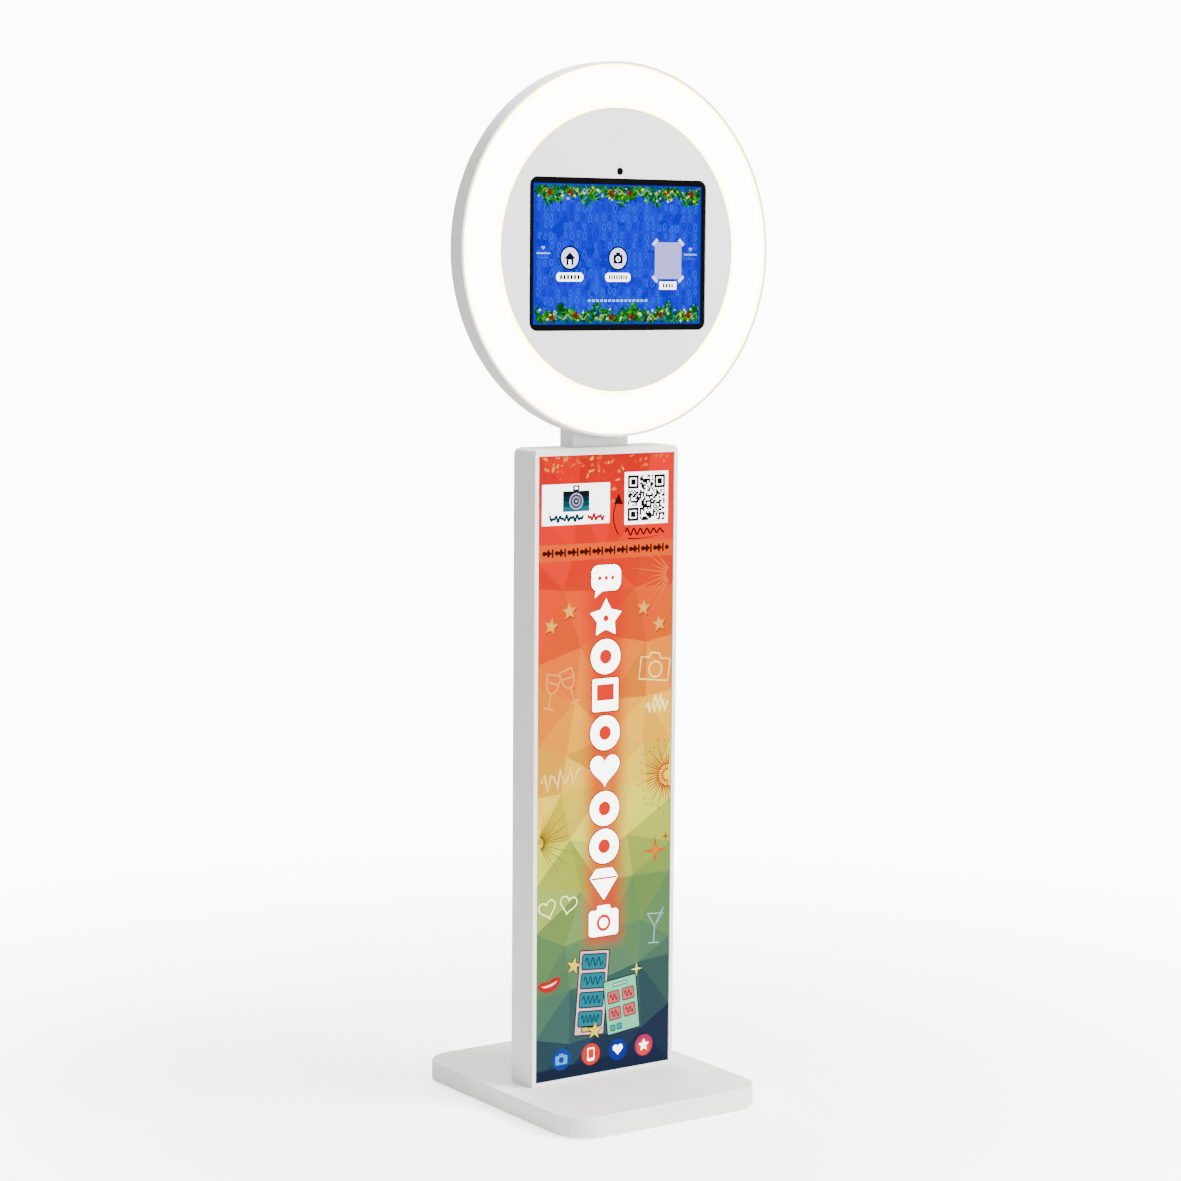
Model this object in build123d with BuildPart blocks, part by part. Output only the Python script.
"""Ring-light photo booth: weighted base, backlit column, neck and tilting round head with a tablet.

Millimetres. +X is to the right for a guest who faces the booth, the guest stands at -Y, +Z is up.
The origin is on the floor under the centre of the base.
"""

from build123d import *

from math import cos, radians, sin
import os

os.makedirs("parts", exist_ok=True)

# ---------------------------------------------------------------- driving dimensions
base_width, base_depth, base_corner = 326, 392, 48
base_top, base_gap = 30, 3  # top of the base, and the gap under its skirt
sheet = 2  # folded sheet steel

column_width, column_top, column_corner = 240, 914, 10
column_front, column_back = -32, 20
frame_side, frame_top, frame_bottom = 6.5, 10, 5  # borders round the lit panel
strip_count, strip_step, strip_width, strip_thickness = 4, 60, 10, 1.2  # LED strips behind the panel

head_radius, head_z = 253, 1182
head_front, head_back_y = -56, -28
head_wall = 1.5
light_inner, light_outer = 191.6, 249.3  # radii of the lit ring

tablet_z = 1176
window_width, window_height, window_corner = 292, 205, 12  # of the face plate, over the tablet

tilt_y, tilt_z = -6, 1010  # the head tilts about this line along X

door_sheet, door_lap, door_clear = 2, 8, 0.4  # clear: the air between a door and its wall
lock_barrel, lock_core, lock_inset = 8, 6, 12
hinge_radius, hinge_pin, hinge_length = 3, 1.5, 60
running_fit = 0.05  # radial clearance of a pin that turns
lead_radius, lead_hole = 1.5, 2.5  # the wires inside the column

# ---------------------------------------------------------------- sizes that follow
ballast_thickness = 10
ballast_top = base_top - sheet
ballast_bottom = ballast_top - ballast_thickness
foot_radius, foot_recess = 18, 8
foot_screw, foot_screw_head, foot_head_height = 3, 6, 3.5
foot_places = [(x, y) for x in (-116, 116) for y in (-148, 148)]

column_height = column_top - base_top
column_middle = (column_top + base_top) / 2
shell_front = column_front + sheet  # the front frame is the column's first 2 mm
wall_inside = column_back - sheet
panel_gap = 0.5  # between the sheets of the light box and the column's walls
panel_back = shell_front + 3
diffuser_back = panel_back + 2
post_front, post_back, post_half, post_wall = -14, 17.5, 46, 3
post_depth, post_y = post_back - post_front, (post_front + post_back) / 2
tray_sheet = 1
strip_back = post_front - tray_sheet

foot_plate_bottom = base_top + sheet
foot_plate_top = foot_plate_bottom + 6
bolt_radius, bolt_hole, bolt_y = 4, 4.3, 2
bolt_places = [(x, bolt_y) for x in (-86, -60, 60, 86)]
ear_bottom = 985  # above this the post is only its two ears
ear_radius = 14
tilt_pin_radius = 5

light_front = head_front + 1
light_seat = light_front + 3
head_inside = head_back_y - head_wall
face_front, face_back = head_front + 0.5, head_front + 2.5
face_radius = light_inner - 0.5
tablet_glass_back = face_back + 1
tablet_back = tablet_glass_back + 5.5
cradle_back = tablet_back + 1.5
camera_z = tablet_z + window_height / 2 + 9.5
camera_hole, lens_radius = 5.2, 4.9
board_back = -38.4
board_front = board_back - 1.6
tab_thickness = 3

corner = (Align.MIN, Align.MIN, Align.MIN)
upright = (Align.CENTER, Align.CENTER, Align.MIN)


def facing(y):
    """A sketch plane at that y whose local axes are X and Z, and which extrudes towards the guest."""
    return Plane.XZ.offset(-y)


def across(x):
    """A sketch plane at that x whose local axes are Y and Z, and which extrudes along +X."""
    return Plane.YZ.offset(x)


def save(builder, name):
    """Labels a finished piece and writes its STEP file."""
    builder.part.label = name
    export_step(builder.part, f"parts/{name}.step")


def column_outline(inset):
    """The column's front outline drawn in by inset, square below and rounded at its top corners."""
    with BuildSketch(mode=Mode.PRIVATE) as outline:
        with Locations((0, column_middle)):
            Rectangle(column_width - 2 * inset, column_height - 2 * inset)
        fillet(outline.vertices().group_by(Axis.Y)[-1], column_corner - inset)
    return outline.sketch


# ================================================================ base
with BuildPart() as base_cover:
    with BuildSketch(Plane.XY.offset(base_gap)):
        RectangleRounded(base_width, base_depth, base_corner)
    extrude(amount=base_top - base_gap)
    fillet(base_cover.faces().sort_by(Axis.Z)[-1].edges(), 2.5)
    with BuildSketch(Plane.XY.offset(base_gap)):
        RectangleRounded(base_width - 2 * sheet, base_depth - 2 * sheet, base_corner - sheet)
    extrude(amount=ballast_top - base_gap, mode=Mode.SUBTRACT)
    with BuildSketch(Plane.XY.offset(ballast_top)):
        with Locations(*bolt_places):
            Circle(bolt_hole)
    extrude(amount=sheet, mode=Mode.SUBTRACT)
save(base_cover, "base_cover")

with BuildPart() as ballast_plate:
    with BuildSketch(Plane.XY.offset(ballast_bottom)):
        RectangleRounded(base_width - 2 * sheet - 1, base_depth - 2 * sheet - 1, base_corner - sheet - 0.5)
        with Locations(*bolt_places):
            Circle(bolt_hole, mode=Mode.SUBTRACT)
        with Locations(*foot_places):
            Circle(foot_screw, mode=Mode.SUBTRACT)
    extrude(amount=ballast_thickness)
save(ballast_plate, "ballast_plate")

with BuildPart() as rubber_feet:
    with Locations(*[(x, y, 0) for x, y in foot_places]):
        Cone(foot_radius - 3, foot_radius, ballast_bottom, align=upright)
        Cylinder(foot_screw_head + 1, foot_recess, align=upright, mode=Mode.SUBTRACT)
        Cylinder(foot_screw, ballast_bottom, align=upright, mode=Mode.SUBTRACT)
save(rubber_feet, "rubber_feet")

with BuildPart() as foot_screws:
    with BuildSketch(Plane.XY.offset(foot_recess - foot_head_height)):
        with Locations(*foot_places):
            Circle(foot_screw_head)
    extrude(amount=foot_head_height)
    with BuildSketch(Plane.XY.offset(foot_recess)):
        with Locations(*foot_places):
            Circle(foot_screw)
    extrude(amount=ballast_top - 1 - foot_recess)
    with BuildSketch(Plane.XY.offset(foot_recess - foot_head_height)):  # hexagon sockets
        with Locations(*foot_places):
            RegularPolygon(foot_screw_head / 2, 6)
    extrude(amount=2, mode=Mode.SUBTRACT)
save(foot_screws, "foot_screws")

# ================================================================ column: shell and light box
service_half, service_z, service_height = 88, 508, 760  # opening behind the service door
inlet_x, inlet_z, switch_z = 82, 62, 98
cut_out = (28, 21)

with BuildPart() as column_shell:
    with BuildSketch(facing(column_back)):
        add(column_outline(0))
    extrude(amount=column_back - shell_front)
    with BuildSketch(facing(wall_inside)):
        add(column_outline(sheet))
    extrude(amount=wall_inside - shell_front, mode=Mode.SUBTRACT)
    with BuildSketch(facing(column_back)):
        with Locations((0, service_z)):
            RectangleRounded(2 * service_half, service_height, 6)
        with Locations((inlet_x, inlet_z), (inlet_x, switch_z)):
            Rectangle(*cut_out)
    extrude(amount=sheet, mode=Mode.SUBTRACT)
    with BuildSketch(Plane.XY.offset(column_top - sheet)):  # where the post comes through the top
        with Locations((0, post_y)):
            Rectangle(2 * post_half + 1, post_depth + 0.8)
    extrude(amount=sheet, mode=Mode.SUBTRACT)
    with BuildSketch(Plane.XY.offset(base_top)):
        with Locations(*bolt_places):
            Circle(bolt_hole)
    extrude(amount=sheet, mode=Mode.SUBTRACT)
save(column_shell, "column_shell")

with BuildPart() as front_frame:
    with BuildSketch(facing(shell_front)):
        add(column_outline(0))
        with Locations((0, column_middle + (frame_bottom - frame_top) / 2)):
            Rectangle(
                column_width - 2 * frame_side,
                column_height - frame_top - frame_bottom,
                mode=Mode.SUBTRACT,
            )
    extrude(amount=sheet)
    fillet(front_frame.faces().sort_by(Axis.Y)[0].outer_wire().edges(), 0.8)
save(front_frame, "front_frame")

light_box_sheets = {
    "graphic_panel": (panel_back, panel_back - shell_front),
    "panel_diffuser": (diffuser_back, diffuser_back - panel_back),
}
for sheet_name, (back, thickness) in light_box_sheets.items():
    with BuildPart() as light_sheet:
        with BuildSketch(facing(back)):
            add(column_outline(sheet + panel_gap))
        extrude(amount=thickness)
    save(light_sheet, sheet_name)

strip_lead_x, strip_lead_z = 90, 352  # where the strips' lead goes through the tray
with BuildPart() as light_tray:
    with BuildSketch(facing(post_front)):
        add(column_outline(sheet + panel_gap))
    extrude(amount=post_front - diffuser_back)
    with BuildSketch(facing(strip_back)):
        add(column_outline(sheet + panel_gap + tray_sheet))
    extrude(amount=strip_back - diffuser_back, mode=Mode.SUBTRACT)
    with BuildSketch(facing(post_front)):
        with Locations((strip_lead_x, strip_lead_z)):
            Circle(lead_hole)
    extrude(amount=tray_sheet, mode=Mode.SUBTRACT)
save(light_tray, "light_tray")

with BuildPart() as light_strips:
    with BuildSketch(facing(strip_back)):
        with Locations((0, column_middle)):
            with GridLocations(strip_step, 0, strip_count, 1):
                Rectangle(strip_width, column_height - 44)
    extrude(amount=strip_thickness)
save(light_strips, "light_strips")

# ================================================================ post, bolts and supply
cable_x, cable_y, cable_hole_z = 74, 0, 860
supply_bottom, supply_top, supply_outer = 150, 330, 102
bolt_head, nut_height = 5.3, 6.5

with BuildPart() as neck_post:
    with BuildSketch(Plane.XY.offset(foot_plate_bottom)):
        with Locations((0, bolt_y)):
            Rectangle(200, 30)
        with Locations(*bolt_places):
            Circle(bolt_hole, mode=Mode.SUBTRACT)
    extrude(amount=foot_plate_top - foot_plate_bottom)
    with BuildSketch(Plane.XY.offset(foot_plate_top)):
        with Locations((0, post_y)):
            Rectangle(2 * post_half, post_depth)
            Rectangle(2 * (post_half - post_wall), post_depth - 2 * post_wall, mode=Mode.SUBTRACT)
    extrude(amount=ear_bottom - foot_plate_top)
    for ear_x in (-post_half, post_half - post_wall):
        with BuildSketch(across(ear_x)):
            with Locations((post_y, ear_bottom - 1)):
                Rectangle(post_depth, 2)
            with Locations((tilt_y, tilt_z)):
                Circle(ear_radius)
            make_hull()
        extrude(amount=post_wall)
    with BuildSketch(across(-post_half)):
        with Locations((tilt_y, tilt_z)):
            Circle(tilt_pin_radius)
    extrude(amount=2 * post_half, mode=Mode.SUBTRACT)
    with BuildSketch(across(post_half - post_wall)):  # the head's cable comes in here
        with Locations((cable_y, cable_hole_z)):
            Circle(6)
    extrude(amount=post_wall, mode=Mode.SUBTRACT)
save(neck_post, "neck_post")

with BuildPart() as post_bolts:
    with BuildSketch(Plane.XY.offset(ballast_bottom - bolt_head)):
        with Locations(*bolt_places):
            RegularPolygon(7.5, 6)
    extrude(amount=bolt_head)
    with BuildSketch(Plane.XY.offset(ballast_bottom)):
        with Locations(*bolt_places):
            Circle(bolt_radius)
    extrude(amount=foot_plate_top + nut_height + 2 - ballast_bottom)
save(post_bolts, "post_bolts")

with BuildPart() as post_nuts:
    with BuildSketch(Plane.XY.offset(foot_plate_top)):
        with Locations(*bolt_places):
            RegularPolygon(7.5, 6)
            Circle(bolt_radius, mode=Mode.SUBTRACT)
    extrude(amount=nut_height)
save(post_nuts, "post_nuts")

with BuildPart() as power_supply:
    with Locations((post_half, -12, supply_bottom)):
        Box(supply_outer - post_half, 28, supply_top - supply_bottom, align=corner)
    fillet(power_supply.edges().filter_by(Axis.Z), 1.5)
save(power_supply, "power_supply")

cable_end_x, cable_end_z = 20, 960
with BuildPart() as head_cable:
    with BuildLine():
        FilletPolyline(
            (cable_x, cable_y, supply_top),
            (cable_x, cable_y, cable_hole_z),
            (cable_end_x, cable_y, cable_hole_z),
            (cable_end_x, cable_y, cable_end_z),
            radius=24,
        )
    with BuildSketch(Plane.XY.offset(supply_top)):
        with Locations((cable_x, cable_y)):
            Circle(3)
    sweep()

with BuildPart() as head_connector:
    with Locations((cable_end_x - 9, post_front + post_wall, cable_end_z)):
        Box(18, 18, 16, align=corner)
    fillet(head_connector.edges().filter_by(Axis.Z), 1)
save(head_connector, "head_connector")

# ================================================================ mains inlet and switch
inlet_depth, switch_depth = 17, 20  # behind the wall's outer face
with BuildPart() as mains_inlet:
    with BuildSketch(facing(column_back + 2.5)):
        with Locations((inlet_x, inlet_z)):
            RectangleRounded(50, 24, 4)
    extrude(amount=2.5)
    with BuildSketch(facing(column_back)):
        with Locations((inlet_x, inlet_z)):
            Rectangle(cut_out[0] - 0.4, cut_out[1] - 0.4)
    extrude(amount=inlet_depth)
    with BuildSketch(facing(column_back + 2.5)):
        with Locations((inlet_x, inlet_z)):
            RectangleRounded(24, 16.4, 2)
    extrude(amount=15, mode=Mode.SUBTRACT)
save(mains_inlet, "mains_inlet")

with BuildPart() as mains_pins:
    with BuildSketch(facing(column_back + 2.5 - 5)):
        with Locations((inlet_x - 7, inlet_z - 2), (inlet_x, inlet_z + 2), (inlet_x + 7, inlet_z - 2)):
            Rectangle(2, 4)
    extrude(amount=10)
save(mains_pins, "mains_pins")

switch_pivot_y, switch_tip = 14, 8  # the rocker rests tipped to off, 8 degrees from level
with BuildPart() as power_switch:
    with BuildSketch(facing(column_back + 1.5)):
        with Locations((inlet_x, switch_z)):
            RectangleRounded(31, 24, 2)
    extrude(amount=1.5)
    with BuildSketch(facing(column_back)):
        with Locations((inlet_x, switch_z)):
            Rectangle(cut_out[0] - 0.4, cut_out[1] - 0.4)
    extrude(amount=switch_depth)
    with BuildSketch(facing(column_back + 1.5)):
        with Locations((inlet_x, switch_z)):
            Rectangle(20, 18)
    extrude(amount=17.5, mode=Mode.SUBTRACT)
    with BuildSketch(across(inlet_x - cut_out[0] / 2 + 0.2)):
        with Locations((switch_pivot_y, switch_z)):
            Circle(hinge_pin + running_fit)
    extrude(amount=cut_out[0] - 0.4, mode=Mode.SUBTRACT)
save(power_switch, "power_switch")

rocker_plane = Plane(
    origin=(inlet_x - 9.6, switch_pivot_y, switch_z),
    x_dir=(0, cos(radians(switch_tip)), -sin(radians(switch_tip))),
    z_dir=(1, 0, 0),
)
with BuildPart() as power_rocker:
    with BuildSketch(rocker_plane):
        Circle(6)
        with BuildLine():
            Polyline((0, -5), (9.5, -7), (7.5, 0), (9.5, 7), (0, 5), close=True)
        make_face()
    extrude(amount=19.2)
    with BuildSketch(across(inlet_x - 12.5)):
        with Locations((switch_pivot_y, switch_z)):
            Circle(hinge_pin)
    extrude(amount=25)
save(power_rocker, "power_rocker")

# ================================================================ leads
inlet_end, switch_end, lead_y = column_back - inlet_depth, column_back - switch_depth, -7
brown_runs = [
    [  # inlet to switch
        (inlet_x - 7, inlet_end, inlet_z),
        (inlet_x - 7, lead_y, inlet_z),
        (inlet_x - 7, lead_y, switch_z - 5),
        (inlet_x - 7, switch_end, switch_z - 5),
    ],
    [  # switch to supply
        (inlet_x + 1, switch_end, switch_z + 5),
        (inlet_x + 1, lead_y, switch_z + 5),
        (inlet_x + 1, lead_y, supply_bottom),
    ],
]
blue_run = [  # inlet to supply
    (inlet_x + 8, inlet_end, inlet_z),
    (inlet_x + 8, lead_y, inlet_z),
    (inlet_x + 8, lead_y, supply_bottom),
]
strip_run = [  # supply to the strips
    (strip_lead_x, lead_y, supply_top),
    (strip_lead_x, lead_y, strip_lead_z),
    (strip_lead_x, strip_back, strip_lead_z),
]


def lead(stops):
    """A round lead along straight runs joined by arcs."""
    with BuildPart() as wire:
        with BuildLine() as path:
            FilletPolyline(*stops, radius=4)
        with BuildSketch(path.line ^ 0):
            Circle(lead_radius)
        sweep()
    return wire.part


with BuildPart() as brown_leads:
    add([lead(stops) for stops in brown_runs])
save(brown_leads, "brown_leads")

with BuildPart() as blue_lead:
    add(lead(blue_run))
save(blue_lead, "blue_lead")

with BuildPart() as supply_cables:
    add([head_cable.part, lead(strip_run)])
save(supply_cables, "supply_cables")


# ================================================================ doors
def make_door(name, wall_y, wall, half, middle, height, hinge_heights, slots):
    """A sheet door over an opening in a back wall, hinged at -X, with a quarter-turn lock at +X.

    The opening is 2 * half wide and height tall about the given middle. The door is wider by its lap
    on each side. Its lock rests undone, with the cam pointing down inside the opening.
    """
    door_in, door_out = wall_y + door_clear, wall_y + door_clear + door_sheet
    hinge_x, hinge_y = -half - door_lap - 3.5, wall_y + 3.3
    lock_x = half - lock_inset
    cam_front = wall_y - wall - 0.8
    leaf = 1.5
    knuckle = hinge_length / 3

    with BuildPart() as door:
        with BuildSketch(facing(door_out)):
            with Locations((0, middle)):
                RectangleRounded(2 * (half + door_lap), height + 2 * door_lap, 6)
            with Locations((lock_x, middle)):
                Circle(lock_barrel, mode=Mode.SUBTRACT)
            with Locations(*slots):
                SlotOverall(90, 3, mode=Mode.SUBTRACT)
        extrude(amount=door_sheet)
        fillet(door.faces().sort_by(Axis.Y)[-1].outer_wire().edges(), 0.6)
    save(door, f"{name}_door")

    with BuildPart() as hinge_plates:
        for z in hinge_heights:
            with Locations((hinge_x - 14.5, wall_y, z - hinge_length / 2)):
                Box(11, leaf, hinge_length, align=corner)
            with Locations((hinge_x - 3.5, wall_y, z - knuckle / 2)):
                Box(3.5, leaf, knuckle, align=corner)
            with Locations((hinge_x, hinge_y, z)):
                Cylinder(hinge_radius, knuckle)
        for z in hinge_heights:
            with Locations((hinge_x, hinge_y, z)):
                Cylinder(hinge_pin, hinge_length, mode=Mode.SUBTRACT)
    save(hinge_plates, f"{name}_hinge_plates")

    with BuildPart() as hinge_leaves:
        knuckle_length = knuckle - 0.4
        for z in hinge_heights:
            with Locations((hinge_x + 3.5, door_out, z - hinge_length / 2)):
                Box(14, leaf, hinge_length, align=corner)
            for end in (z - hinge_length / 2, z + hinge_length / 2 - knuckle_length):
                with Locations((hinge_x, door_out, end)):
                    Box(3.5, leaf, knuckle_length, align=corner)
                with Locations((hinge_x, hinge_y, end + knuckle_length / 2)):
                    Cylinder(hinge_radius, knuckle_length)
        for z in hinge_heights:
            with Locations((hinge_x, hinge_y, z)):
                Cylinder(hinge_pin + running_fit, hinge_length, mode=Mode.SUBTRACT)
    save(hinge_leaves, f"{name}_hinge_leaves")

    with BuildPart() as hinge_pins:
        for z in hinge_heights:
            with Locations((hinge_x, hinge_y, z)):
                Cylinder(hinge_pin, hinge_length + 2)
    save(hinge_pins, f"{name}_hinge_pins")

    with BuildPart() as barrel:
        with BuildSketch(facing(door_out + 1.6)):
            with Locations((lock_x, middle)):
                Circle(lock_barrel + 2.5)
        extrude(amount=1.6)
        with BuildSketch(facing(door_out)):
            with Locations((lock_x, middle)):
                Circle(lock_barrel)
        extrude(amount=door_out - cam_front - 0.4)
        with BuildSketch(facing(door_out + 1.6)):
            with Locations((lock_x, middle)):
                Circle(lock_core + running_fit)
        extrude(amount=door_out + 1.6 - cam_front, mode=Mode.SUBTRACT)
    save(barrel, f"{name}_lock_barrel")

    with BuildPart() as nut:
        with BuildSketch(facing(door_in)):
            with Locations((lock_x, middle)):
                RegularPolygon(10.5, 6)
                Circle(lock_barrel, mode=Mode.SUBTRACT)
        extrude(amount=1.8)
    save(nut, f"{name}_lock_nut")

    with BuildPart() as core:
        with BuildSketch(facing(door_out + 1.4)):
            with Locations((lock_x, middle)):
                Circle(lock_core)
        extrude(amount=door_out + 1.4 - cam_front)
        with BuildSketch(facing(cam_front)):
            with Locations((lock_x, middle)):
                Circle(3)
        extrude(amount=sheet)
        with BuildSketch(facing(door_out + 1.4)):
            with Locations((lock_x, middle)):
                Rectangle(1.6, 7)
        extrude(amount=2.5, mode=Mode.SUBTRACT)
    save(core, f"{name}_lock_core")

    with BuildPart() as cam:
        with BuildSketch(facing(cam_front)):
            with Locations((lock_x, middle)):
                Circle(8)
            with Locations((lock_x, middle - 20)):
                Circle(6)
            make_hull()
            with Locations((lock_x, middle)):
                Circle(3, mode=Mode.SUBTRACT)
        extrude(amount=sheet)
    save(cam, f"{name}_lock_cam")


service_slots = [(30, z) for z in range(190, 310, 12)]
service_hinges = (service_z - 290, service_z, service_z + 290)
make_door(
    "service",
    column_back,
    sheet,
    service_half,
    service_z,
    service_height,
    service_hinges,
    service_slots,
)

tablet_half, tablet_door_z, tablet_door_height = 115, 1182, 150
tablet_slots = [(0, tablet_door_z + step) for step in (-12, 0, 12)]
tablet_hinges = (tablet_door_z - 45, tablet_door_z + 45)
make_door(
    "tablet",
    head_back_y,
    head_wall,
    tablet_half,
    tablet_door_z,
    tablet_door_height,
    tablet_hinges,
    tablet_slots,
)

# ================================================================ head: shell and ring light
rim_inside = head_radius - head_wall
back_screw, back_screw_head = 1.5, 1.8  # radius of the thread, height of the head
dimmer_x, dimmer_z = 105, 1056
bracket_screw = 2.5
bracket_screws_at = [(x, z) for x in (-25, 25) for z in (1003, 1031)]
vents_at = [(x, head_z + up) for x in (-50, 50) for up in range(130, 178, 8)]


def back_screw_places(outwards=0):
    """The eight places round the back plate's edge where a screw holds it, moved outwards."""
    return PolarLocations(246 + outwards, 8, start_angle=22.5)


with BuildPart() as head_rim:
    with BuildSketch(facing(head_back_y)):
        with Locations((0, head_z)):
            Circle(head_radius)
    extrude(amount=head_back_y - head_front)
    fillet(head_rim.edges(), 0.7)
    with BuildSketch(facing(head_back_y)):
        with Locations((0, head_z)):
            Circle(rim_inside)
    extrude(amount=head_back_y - light_front, mode=Mode.SUBTRACT)
    with BuildSketch(facing(light_front)):
        with Locations((0, head_z)):
            Circle(light_outer)
    extrude(amount=light_front - head_front, mode=Mode.SUBTRACT)
    with BuildSketch(facing(head_inside)):
        with Locations((0, head_z)):
            with back_screw_places(outwards=0.6):
                Rectangle(11.2, 14)
            with back_screw_places():
                Circle(back_screw, mode=Mode.SUBTRACT)
    extrude(amount=tab_thickness)
save(head_rim, "head_rim")

with BuildPart() as head_back:
    with BuildSketch(facing(head_back_y)):
        with Locations((0, head_z)):
            Circle(rim_inside - 0.1)
            with back_screw_places():
                Circle(back_screw + 0.2, mode=Mode.SUBTRACT)
        with Locations((0, tablet_door_z)):
            RectangleRounded(2 * tablet_half, tablet_door_height, 6, mode=Mode.SUBTRACT)
        with Locations(*bracket_screws_at):
            Circle(bracket_screw + 0.2, mode=Mode.SUBTRACT)
        with Locations((dimmer_x, dimmer_z)):
            Circle(4, mode=Mode.SUBTRACT)
        with Locations(*vents_at):
            SlotOverall(70, 3, mode=Mode.SUBTRACT)
    extrude(amount=head_wall)
save(head_back, "head_back")

with BuildPart() as back_screws:
    with BuildSketch(facing(head_back_y + back_screw_head)):
        with Locations((0, head_z)):
            with back_screw_places():
                Circle(3.2)
    extrude(amount=back_screw_head)
    fillet(back_screws.edges().group_by(Axis.Y)[-1], 0.6)
    with BuildSketch(facing(head_back_y)):
        with Locations((0, head_z)):
            with back_screw_places():
                Circle(back_screw)
    extrude(amount=6)
    with BuildSketch(facing(head_back_y + back_screw_head)):  # hexagon sockets
        with Locations((0, head_z)):
            with back_screw_places():
                RegularPolygon(1.4, 6)
    extrude(amount=1.2, mode=Mode.SUBTRACT)

with BuildPart() as inner_ring:
    with BuildSketch(facing(head_inside)):
        with Locations((0, head_z)):
            Circle(light_inner + 2.4)
            Circle(light_inner - 3, mode=Mode.SUBTRACT)
    extrude(amount=head_inside - light_seat)
    with BuildSketch(facing(light_seat)):
        with Locations((0, head_z)):
            Circle(face_radius)
            Circle(light_inner - 3, mode=Mode.SUBTRACT)
    extrude(amount=light_seat - face_back)
save(inner_ring, "inner_ring")

with BuildPart() as ring_diffuser:
    with BuildSketch(facing(light_seat)):
        with Locations((0, head_z)):
            Circle(rim_inside - 0.5)
            Circle(light_inner, mode=Mode.SUBTRACT)
    extrude(amount=light_seat - light_front)
save(ring_diffuser, "ring_diffuser")

with BuildPart() as led_board:
    with BuildSketch(facing(board_back)):
        with Locations((0, head_z)):
            Circle(249)
            Circle(196, mode=Mode.SUBTRACT)
    extrude(amount=board_back - board_front)
save(led_board, "led_board")

with BuildPart() as ring_leds:
    with BuildSketch(facing(board_front)):
        with Locations((0, head_z)):
            for row_radius in (210, 232):
                with PolarLocations(row_radius, 48):
                    Rectangle(4, 4)
    extrude(amount=1.2)
save(ring_leds, "ring_leds")

# ================================================================ head: face, tablet and camera
with BuildPart() as face_plate:
    with BuildSketch(facing(face_back)):
        with Locations((0, head_z)):
            Circle(face_radius)
        with Locations((0, tablet_z)):
            RectangleRounded(window_width, window_height, window_corner, mode=Mode.SUBTRACT)
        with Locations((0, camera_z)):
            Circle(camera_hole, mode=Mode.SUBTRACT)
    extrude(amount=face_back - face_front)
save(face_plate, "face_plate")

tablet_slabs = {
    "tablet_glass": (tablet_glass_back, face_back),
    "tablet_body": (tablet_back, tablet_glass_back),
}
for slab_name, (back, front) in tablet_slabs.items():
    with BuildPart() as slab:
        with BuildSketch(facing(back)):
            with Locations((0, tablet_z)):
                RectangleRounded(window_width + 4, window_height + 4, window_corner + 2)
        extrude(amount=back - front)
    save(slab, slab_name)

with BuildPart() as tablet_cradle:
    with BuildSketch(facing(cradle_back)):
        with Locations((0, tablet_z)):
            RectangleRounded(window_width + 8, window_height + 8, window_corner + 4)
    extrude(amount=cradle_back - face_back)
    with BuildSketch(facing(tablet_back)):
        with Locations((0, tablet_z)):
            RectangleRounded(window_width + 4.6, window_height + 4.6, window_corner + 2.3)
    extrude(amount=tablet_back - face_back, mode=Mode.SUBTRACT)
save(tablet_cradle, "tablet_cradle")

with BuildPart() as head_pillars:
    with BuildSketch(facing(head_inside)):  # eight that carry the ring's board
        with Locations((0, head_z)):
            with PolarLocations(221, 8):
                Circle(4)
    extrude(amount=head_inside - board_back)
    with BuildSketch(facing(head_inside)):  # four that carry the cradle
        with Locations((0, tablet_z)):
            with GridLocations(270, 184, 2, 2):
                Circle(4)
    extrude(amount=head_inside - cradle_back)
save(head_pillars, "head_pillars")

with BuildPart() as camera_module:
    with Locations((-12, face_back, camera_z - 5)):
        Box(24, 9, 16, align=corner)
    fillet(camera_module.edges().filter_by(Axis.Y), 1)
save(camera_module, "camera_module")

with BuildPart() as camera_lens:
    with BuildSketch(facing(face_back)):
        with Locations((0, camera_z)):
            Circle(lens_radius)
    extrude(amount=face_back - face_front - 0.3)
    fillet(camera_lens.faces().sort_by(Axis.Y)[0].edges(), 0.6)
save(camera_lens, "camera_lens")

with BuildPart() as light_driver:
    with Locations((-60, head_inside - 12, 1296)):
        Box(120, 12, 12, align=corner)
save(light_driver, "light_driver")

# ================================================================ dimmer
with BuildPart() as dimmer:
    with Locations((dimmer_x - 8, head_inside - 9, dimmer_z - 8)):
        Box(16, 9, 16, align=corner)
    with BuildSketch(facing(head_back_y + 2)):
        with Locations((dimmer_x, dimmer_z)):
            Circle(4)
    extrude(amount=head_wall + 2)
    with BuildSketch(facing(head_back_y + 2)):
        with Locations((dimmer_x, dimmer_z)):
            Circle(3 + running_fit)
    extrude(amount=8, mode=Mode.SUBTRACT)
save(dimmer, "dimmer")

with BuildPart() as dimmer_shaft:
    with BuildSketch(facing(head_back_y + 12)):
        with Locations((dimmer_x, dimmer_z)):
            Circle(3)
    extrude(amount=17)
save(dimmer_shaft, "dimmer_shaft")

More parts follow.
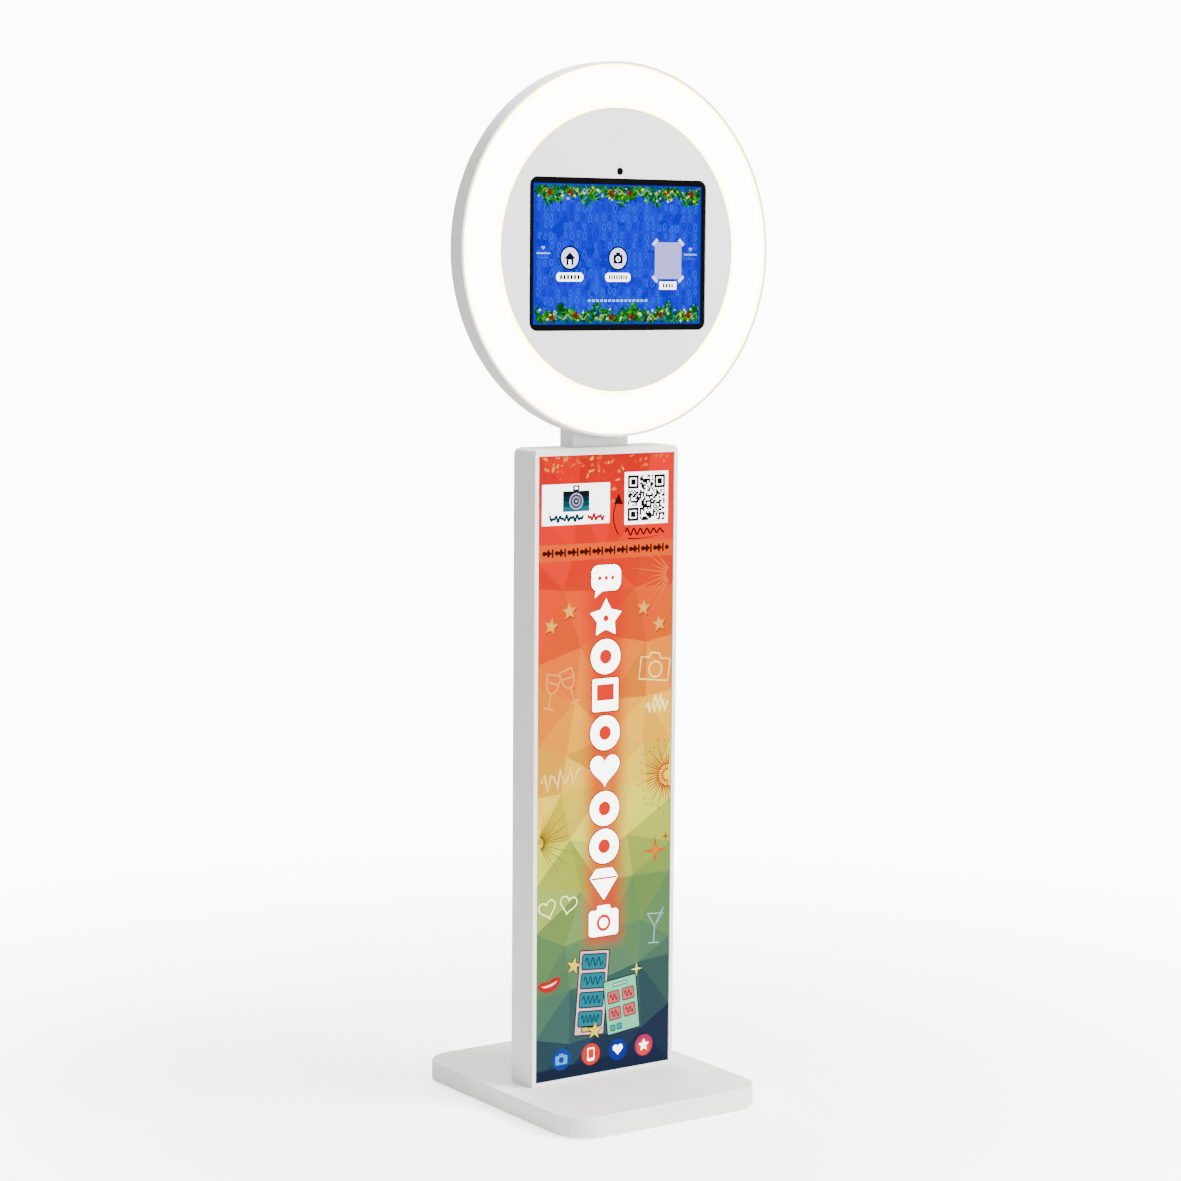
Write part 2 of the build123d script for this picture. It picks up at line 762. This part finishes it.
with BuildPart() as dimmer_knob:
    with BuildSketch(facing(head_back_y + 2.5)):
        with Locations((dimmer_x, dimmer_z)):
            Circle(9)
    extrude(amount=-12, taper=4)
    fillet(dimmer_knob.faces().sort_by(Axis.Y)[-1].edges(), 1)
    with BuildSketch(facing(head_back_y + 2.5)):
        with Locations((dimmer_x, dimmer_z)):
            Circle(3)
    extrude(amount=-9.5, mode=Mode.SUBTRACT)
    with BuildSketch(facing(head_back_y + 14.5)):  # pointer groove
        with Locations((dimmer_x, dimmer_z + 5)):
            Rectangle(1, 5)
    extrude(amount=0.6, mode=Mode.SUBTRACT)
save(dimmer_knob, "dimmer_knob")

# ================================================================ tilt
washer = 0.5
ear_outer = post_half - post_wall - washer
bracket_back = head_back_y + 3

with BuildPart() as head_bracket:
    with BuildSketch(facing(bracket_back)):
        with Locations((0, tilt_z)):
            Rectangle(2 * ear_outer, 52)
        with Locations(*bracket_screws_at):
            Circle(bracket_screw, mode=Mode.SUBTRACT)
    extrude(amount=bracket_back - head_back_y)
    for ear_x in (-ear_outer, ear_outer - 3):
        with BuildSketch(across(ear_x)):
            with Locations((bracket_back - 1, tilt_z)):
                Rectangle(2, 40)
            with Locations((tilt_y, tilt_z)):
                Circle(ear_radius - 1)
            make_hull()
        extrude(amount=3)
    with BuildSketch(across(-ear_outer)):
        with Locations((tilt_y, tilt_z)):
            Circle(tilt_pin_radius + running_fit)
    extrude(amount=2 * ear_outer, mode=Mode.SUBTRACT)
save(head_bracket, "head_bracket")

with BuildPart() as head_screws:
    add(back_screws.part)
    with BuildSketch(facing(bracket_back + 2.5)):
        with Locations(*bracket_screws_at):
            Circle(4.5)
    extrude(amount=2.5)
    with BuildSketch(facing(bracket_back)):
        with Locations(*bracket_screws_at):
            Circle(bracket_screw)
    extrude(amount=9)
    with BuildSketch(facing(bracket_back + 2.5)):
        with Locations(*bracket_screws_at):
            RegularPolygon(2.3, 6)
    extrude(amount=1.5, mode=Mode.SUBTRACT)
save(head_screws, "head_screws")

with BuildPart() as friction_washers:
    for washer_x in (-ear_outer - washer, ear_outer):
        with BuildSketch(across(washer_x)):
            with Locations((tilt_y, tilt_z)):
                Circle(11)
                Circle(tilt_pin_radius + running_fit, mode=Mode.SUBTRACT)
        extrude(amount=washer)
save(friction_washers, "friction_washers")

with BuildPart() as tilt_pin:
    with BuildSketch(across(-post_half - 5)):
        with Locations((tilt_y, tilt_z)):
            RegularPolygon(9, 6)
    extrude(amount=5)
    with BuildSketch(across(-post_half)):
        with Locations((tilt_y, tilt_z)):
            Circle(tilt_pin_radius)
    extrude(amount=2 * post_half + 12)
save(tilt_pin, "tilt_pin")

knob_start = post_half + 0.3
with BuildPart() as tilt_knob:
    with BuildSketch(across(knob_start)):
        with Locations((tilt_y, tilt_z)):
            Circle(9)
    extrude(amount=5)
    with BuildSketch(across(knob_start + 5)):
        with Locations((tilt_y, tilt_z)):
            Circle(13)
            with PolarLocations(12, 6):
                Circle(5)
    extrude(amount=13)
    fillet(tilt_knob.faces().sort_by(Axis.X)[-1].edges(), 1.5)
    with BuildSketch(across(knob_start)):
        with Locations((tilt_y, tilt_z)):
            Circle(tilt_pin_radius + running_fit)
    extrude(amount=14, mode=Mode.SUBTRACT)
save(tilt_knob, "tilt_knob")
